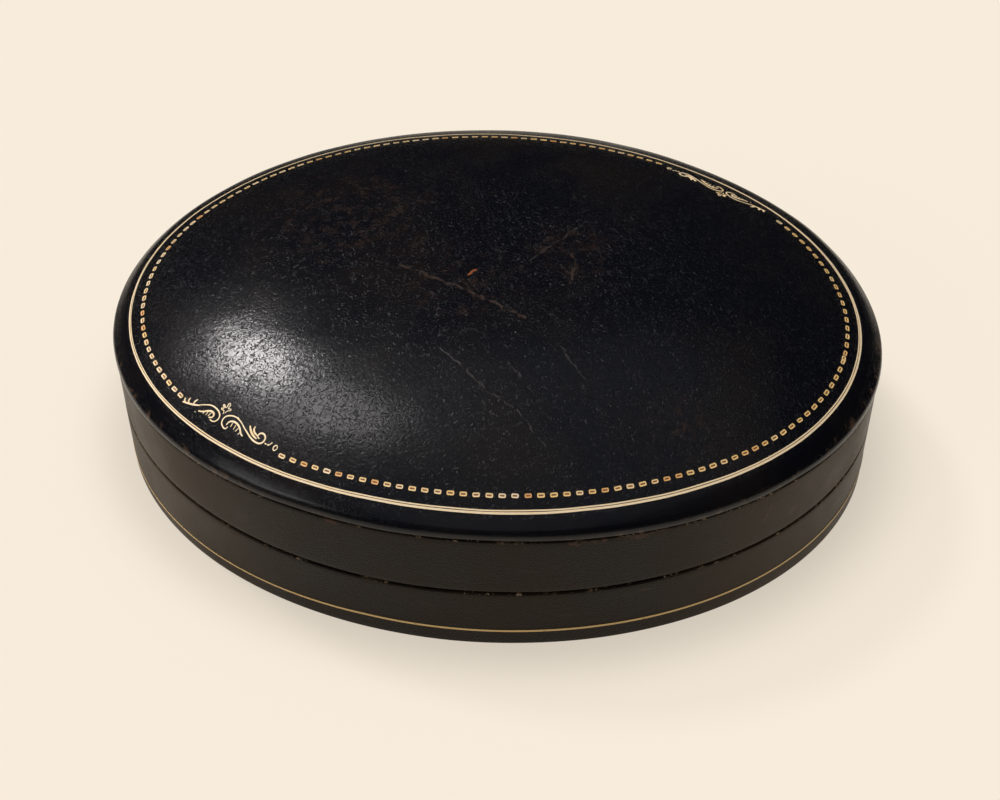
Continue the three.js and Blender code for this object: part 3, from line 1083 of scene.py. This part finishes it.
def strokeMesh(width, points):
    data = bpy.data.curves.new("stroke", "CURVE")
    data.dimensions = "3D"
    data.bevel_depth = 1.0
    data.bevel_resolution = 1
    data.resolution_u = 5
    data.use_fill_caps = True
    spline = data.splines.new("BEZIER")
    last = len(points) - 1
    spline.bezier_points.add(last)
    for n, (u, v) in enumerate(points):
        knot = spline.bezier_points[n]
        knot.co = (u * mm, v * mm, 0)
        knot.handle_left_type = "AUTO"
        knot.handle_right_type = "AUTO"
        swell = sin(pi * (0.22 + 0.56 * n / last))
        knot.radius = width * mm * swell
    stroke = bpy.data.objects.new("stroke", data)
    mesh = bpy.data.meshes.new_from_object(stroke)
    bpy.data.objects.remove(stroke)
    bpy.data.curves.remove(data)
    return mesh


def makeScrolls():
    bm = giltMesh()
    for degrees, weight in scroll["ornaments"]:
        centre, heading = ringPoint(radians(degrees))
        for width, points in scroll["strokes"]:
            mesh = strokeMesh(width * weight, points)
            tint = random.uniform(0.0, scroll["deepestTint"])
            layOnLid(bm, mesh, centre, heading, tint, flatten=scroll["flatten"])
            bpy.data.meshes.remove(mesh)
    bmesh.ops.recalc_face_normals(bm, faces=bm.faces)
    newPiece(bm, "lid_gilt_scrolls", "lid", [brightGilt])


makeScrolls()

footLine = {
    "height": 4.0 * mm,
    "sag": 1.6 * mm,  # how far it runs down towards the left end
    "width": 0.48 * mm,
    "proud": 0.02 * mm,
    "thickness": 0.20 * mm,
    "steps": 320,
    "rubbedThin": 0.45,
    "rubbedAt": -45 * mm,  # middle and length of the stretch where it thins
    "rubbedOver": 50 * mm,
    "tint": 0.5,
}


def makeFootLine():
    middle = footLine["height"]
    low = middle - footLine["width"] / 2
    high = middle + footLine["width"] / 2
    outer = lapStep - footLine["proud"]
    inner = outer + footLine["thickness"]
    section = [(outer, low), (outer, high), (inner, high), (inner, low)]
    bm = spinOval(section, hoopInset, footLine["steps"])
    # lower and rubbed thin at the left end
    for vert in bm.verts:
        kept = clamped(0.5 + (vert.co.x - footLine["rubbedAt"]) / footLine["rubbedOver"])
        breadth = footLine["rubbedThin"] + (1 - footLine["rubbedThin"]) * kept
        vert.co.z = middle - footLine["sag"] * (1 - kept) + (vert.co.z - middle) * breadth
    bm.verts.layers.float.new("tint")
    setTint(bm, bm.verts, footLine["tint"])
    # gilt darkened all over: wear and painted shade
    newPiece(bm, "base_gilt_line", "base", [wornShadedGilt])


makeFootLine()
print("gilt tooling made")


# inside: collar, velvet tray and linings, silk pad
innerHoops = {
    "collar": 1.4 * mm,
    "collarRound": 0.4 * mm,
    "lining": 0.7 * mm,
    "liningRound": 0.25 * mm,
    "steps": 200,
}


def makeCollar():
    low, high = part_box("base_collar")
    outer = halfWidth - high.y
    inner = outer + innerHoops["collar"]
    section = [(outer, low.z), (outer, high.z), (inner, high.z), (inner, low.z)]
    bm = spinOval(section, inner, innerHoops["steps"])
    softenEdges(bm, innerHoops["collarRound"], 3)
    newPiece(bm, "base_collar_hoop", "base", [collarWood], ["base_collar"])


def makeLining(node, name, body, material):
    low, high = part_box(node)
    outer = halfWidth - high.y
    inner = outer + innerHoops["lining"]
    wall = evenly((outer, low.z), (outer, high.z), 3) + [(outer, high.z)]
    face = evenly((inner, high.z), (inner, low.z), 3) + [(inner, low.z)]
    bm = spinOval(wall + face, inner, innerHoops["steps"])
    softenEdges(bm, innerHoops["liningRound"], 3)
    if body == "lid":
        settleEnds(bm)
    newPiece(bm, name, body, [material], [node])


# one soft skin round a copy of CAD solids
def softCopy(nodes, name, voxel):
    bm = bmesh.new()
    for node in nodes:
        bm.from_mesh(frame["nodes"][node].data)
    bmesh.ops.remove_doubles(bm, verts=bm.verts, dist=mergeWithin)
    piece = newObject(bm, name)
    remesh = piece.modifiers.new("remesh", "REMESH")
    remesh.mode = "VOXEL"
    remesh.voxel_size = voxel
    applyModifiers(piece)
    return piece


# takes a working copy's mesh and lets the copy go
def takeMesh(piece):
    bm = bmesh.new()
    bm.from_mesh(piece.data)
    bpy.data.objects.remove(piece)
    return bm


trayBed = {"voxel": 0.7 * mm, "rounds": 10}


def makeTray():
    bm = takeMesh(softCopy(["coin_tray", "tray_bed"], "velvet_tray", trayBed["voxel"]))
    relax(bm, trayBed["rounds"])
    newPiece(bm, "velvet_coin_tray", "base", [velvet], ["coin_tray", "tray_bed"])


silkPad = {
    "voxel": 1.5 * mm,
    "rounds": 1,
    "hollow": 1.6 * mm,  # the pad starts this much flatter than its solid
    "facing": -0.35,  # normals below this belong to the pad's face
    "heldFrom": 0.972,  # the silk is held from here outwards, as a share of the oval
    "heldWithin": 0.03,
    "enlarged": 10.0,  # the solver is steadier on a larger copy
    "frames": 24,
    "cloth": {
        "quality": 8,
        "mass": 0.2,
        "tension_stiffness": 15,
        "compression_stiffness": 15,
        "shear_stiffness": 5,
        "bending_stiffness": 0.15,
        "vertex_group_mass": "held",
        "use_pressure": True,
        "uniform_pressure_force": 0.9,
        "shrink_min": -0.014,  # spare silk
    },
    "reach": 2.8 * mm,  # the most that a point may move
    "gathers": 53,
    "gatherDepth": 0.8 * mm,
}
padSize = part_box("lid_lining_pad")[1]


# silk is free on the pad's face and held along its edge and behind
def heldSilk(piece):
    held = piece.vertex_groups.new(name="held")
    for vert in piece.data.vertices:
        out = hypot(vert.co.x / padSize.x, vert.co.y / padSize.y)
        free = 0.0
        if vert.normal.z < silkPad["facing"]:
            free = clamped((silkPad["heldFrom"] - out) / silkPad["heldWithin"])
        vert.co.z += silkPad["hollow"] * free * (1 - out * out)
        held.add([vert.index], 1 - free, "REPLACE")


# blows the silk up with cloth simulation on a larger copy, then brings the capped moves back
def puffSilk(piece):
    mesh = piece.data
    start = [vert.co.copy() for vert in mesh.vertices]
    mesh.transform(Matrix.Scale(silkPad["enlarged"], 4))
    cloth = piece.modifiers.new("puff", "CLOTH")
    for name, value in silkPad["cloth"].items():
        setattr(cloth.settings, name, value)
    cloth.settings.effector_weights.gravity = 0
    cloth.collision_settings.use_collision = False
    cloth.point_cache.frame_start = 1
    cloth.point_cache.frame_end = silkPad["frames"]
    for moment in range(1, silkPad["frames"] + 1):
        scene.frame_set(moment)
    applyModifiers(piece)
    scene.frame_set(1)
    for vert, before in zip(piece.data.vertices, start):
        move = vert.co / silkPad["enlarged"] - before
        if move.length > silkPad["reach"]:
            move *= silkPad["reach"] / move.length
        vert.co = before + move


# the silk is drawn together in small gathers along its edge
def gatherSilk(bm):
    bm.normal_update()
    for vert in bm.verts:
        out = hypot(vert.co.x / padSize.x, vert.co.y / padSize.y)
        if vert.normal.z > silkPad["facing"] or out < 0.4:
            continue
        angle = atan2(vert.co.y / padSize.y, vert.co.x / padSize.x)
        drift = noise.noise((3 * cos(angle), 3 * sin(angle), out * 2))
        length = 0.58 + 0.22 * noise.noise((9 * cos(angle), 9 * sin(angle), 4.0))
        near = clamped((out - length) / (0.94 - length))
        held = clamped((1.0 - out) / 0.06)
        fold = sin(silkPad["gathers"] * angle + 4 * drift)
        vert.co.z += silkPad["gatherDepth"] * (0.5 + 0.5 * fold) * near ** 1.5 * held


def makeLidPad():
    piece = softCopy(["lid_lining_pad"], "silk_pad", silkPad["voxel"])
    heldSilk(piece)
    puffSilk(piece)
    bm = takeMesh(piece)
    gatherSilk(bm)
    relax(bm, silkPad["rounds"])
    pad = newPiece(bm, "silk_lid_pad", "lid", [silk], ["lid_lining_pad"])
    finer = pad.modifiers.new("finer", "SUBSURF")
    finer.levels = 1
    finer.render_levels = 1


# silk covered piping that closes the joint between the pad and the wall's lining
edgePiping = {"inset": 8.35 * mm, "height": 28.0 * mm, "radius": 0.5 * mm, "sides": 14, "steps": 320}


def makePiping():
    section = []
    for i in range(edgePiping["sides"]):
        turn = fullTurn * i / edgePiping["sides"]
        inset = edgePiping["inset"] + edgePiping["radius"] * cos(turn)
        section.append((inset, edgePiping["height"] + edgePiping["radius"] * sin(turn)))
    bm = spinOval(section, edgePiping["inset"], edgePiping["steps"])
    settleEnds(bm)
    newPiece(bm, "silk_edge_piping", "lid", [silk])


makeCollar()
makeLining("base_wall_lining", "velvet_wall_lining", "base", velvet)
makeLining("lid_wall_lining", "silk_wall_lining", "lid", silk)
makeTray()
makeLidPad()
makePiping()
print("lining made")


# smooth sleeves over the hinge's knuckles
knuckleSleeve = {
    "length": 36.0 * mm,
    "count": 5,
    "gap": 0.4 * mm,
    "over": 0.01 * mm,  # past each end of the knuckle
    "radius": 1.52 * mm,
    "bore": 0.84 * mm,
    "round": 0.18 * mm,
    "steps": 64,
}


def makeKnuckles(name, body, owned):
    bm = bmesh.new()
    _, y, z = hinge
    count = knuckleSleeve["count"]
    pitch = knuckleSleeve["length"] / count
    half = (pitch - knuckleSleeve["gap"]) / 2 + knuckleSleeve["over"]
    corners = [(-half, "bore"), (-half, "radius"), (half, "radius"), (half, "bore")]
    turn = {"axis": (1, 0, 0), "cent": (0, y, z), "angle": fullTurn, "steps": knuckleSleeve["steps"]}
    for number in owned:
        middle = (number - (count - 1) / 2) * pitch
        verts = [bm.verts.new((middle + x, y, z + knuckleSleeve[ring])) for x, ring in corners]
        edges = [bm.edges.new(pair) for pair in zip(verts, verts[1:] + verts[:1])]
        bmesh.ops.spin(bm, geom=verts + edges, use_merge=True, **turn)
    bmesh.ops.remove_doubles(bm, verts=bm.verts, dist=mergeWithin)
    bmesh.ops.recalc_face_normals(bm, faces=bm.faces)
    softenEdges(bm, knuckleSleeve["round"], 3)
    newPiece(bm, name, body, [brass])


makeKnuckles("hinge_base_sleeves", "base", (0, 2, 4))
makeKnuckles("hinge_lid_sleeves", "lid", (1, 3))
print("hinge sleeves made")


# carried over solids
carried = {
    "base_hoop": stainedBeech,
    "base_floor_board": stainedBeech,
    "lid_hoop": stainedBeech,
    "lid_dome_board": stainedBeech,
    "hinge_base_leaf": brass,
    "hinge_lid_leaf": brass,
    "hinge_pin": steel,
}
for number in (1, 2, 3):
    carried[f"hinge_base_nail_{number}"] = brass
    carried[f"hinge_lid_nail_{number}"] = brass
for node, material in carried.items():
    solid = frame["nodes"][node]
    solid.data.materials.clear()
    solid.data.materials.append(material)
print("carried solids finished")


# floor, light and world
studio = {
    "floorHalf": 2.5,
    "floorDrop": 0.05 * mm,
    "floor": (0.930, 0.838, 0.708, 1),
    "floorGlow": 0.85,  # share of the floor's brightness that no lamp's shadow takes away
    "floorPaint": (0.138, 0.124, 0.105),
    "contact": 16.0 * mm,  # reach of the soft shade where the case stands
    "contactShade": 0.76,
    "poolCentre": (0.0, -0.04, 0.0),
    "pool": (0.10, 0.22),  # polished faces see the floor fade out between these distances
    "poolShare": (1.15, 0.007),
    "lights": [
        # name, heading from +X and height in degrees, spread in degrees, strength, colour
        ("keyLight", 144.0, 50.0, 10.0, 1.75, (1.0, 0.955, 0.95)),
        ("keyUpper", 160.0, 64.0, 18.0, 0.75, (1.0, 0.955, 0.95)),
        ("topLight", 0.0, 88.0, 72.0, 0.42, (0.92, 0.94, 1.0)),
        ("windowLight", 215.0, 30.0, 22.0, 0.5, (1.0, 1.0, 1.0)),
    ],
    "fill": (1.0, 0.97, 0.93, 1),
    "fillStrength": 0.22,
    "mirrored": 0.007,  # what polished faces see of the dim room
}


def addFloor():
    bm = bmesh.new()
    bmesh.ops.create_grid(bm, x_segments=1, y_segments=1, size=studio["floorHalf"])
    floor = newObject(bm, "floor")
    floor.location.z = -studio["floorDrop"]
    material, shader, point = newMaterial("floorPaper", Roughness=0.95)
    shader.inputs["Specular IOR Level"].default_value = 0.0
    shader.inputs["Emission Color"].default_value = studio["floor"]
    mirrored = addNode(shader, "LightPath").outputs["Is Glossy Ray"]
    away = vector("DISTANCE", point, studio["poolCentre"], "Value")
    pool = fade(away, *studio["pool"], *studio["poolShare"])
    share = plus(times(mirrored, minus(pool, 1.0)), 1.0)
    paint(shader, scaled(studio["floorPaint"], share))
    contact = addNode(shader, "AmbientOcclusion", {"Distance": studio["contact"]}).outputs["AO"]
    shade = fade(contact, 0.5, 1.0, studio["contactShade"] * studio["floorGlow"], studio["floorGlow"])
    plug(times(share, shade), shader.inputs["Emission Strength"])
    # clear from below, so that the underside can be looked at
    below = addNode(shader, "MixShader")
    plug(addNode(shader, "NewGeometry").outputs["Backfacing"], below.inputs[0])
    plug(shader.outputs[0], below.inputs[1])
    plug(addNode(shader, "BsdfTransparent").outputs[0], below.inputs[2])
    plug(below.outputs[0], material.node_tree.nodes["Material Output"].inputs["Surface"])
    floor.data.materials.append(material)


def addLight(name, heading, height, spread, strength, colour):
    data = bpy.data.lights.new(name, "SUN")
    data.energy = strength
    data.color = colour
    data.angle = radians(spread)
    light = bpy.data.objects.new(name, data)
    around = radians(heading)
    up = radians(height)
    towards = Vector((cos(around) * cos(up), sin(around) * cos(up), sin(up)))
    light.rotation_mode = "QUATERNION"
    light.rotation_quaternion = towards.to_track_quat("Z", "Y")
    scene.collection.objects.link(light)


def addWorld():
    world = bpy.data.worlds.new("studio")
    world.use_nodes = True
    scene.world = world
    tree = world.node_tree
    tree.nodes.clear()
    path = addNode(tree, "LightPath")
    strength = fade(path.outputs["Is Glossy Ray"], 0.0, 1.0, studio["fillStrength"], studio["mirrored"])
    fill = addNode(tree, "Background", {"Color": studio["fill"], "Strength": strength})
    seen = addNode(tree, "Background", {"Color": studio["floor"], "Strength": 1.0})
    both = addNode(tree, "MixShader")
    plug(path.outputs["Is Camera Ray"], both.inputs[0])
    plug(fill.outputs[0], both.inputs[1])
    plug(seen.outputs[0], both.inputs[2])
    plug(both.outputs[0], addNode(tree, "OutputWorld").inputs["Surface"])


addFloor()
for light in studio["lights"]:
    addLight(*light)
addWorld()
print("floor and light set")
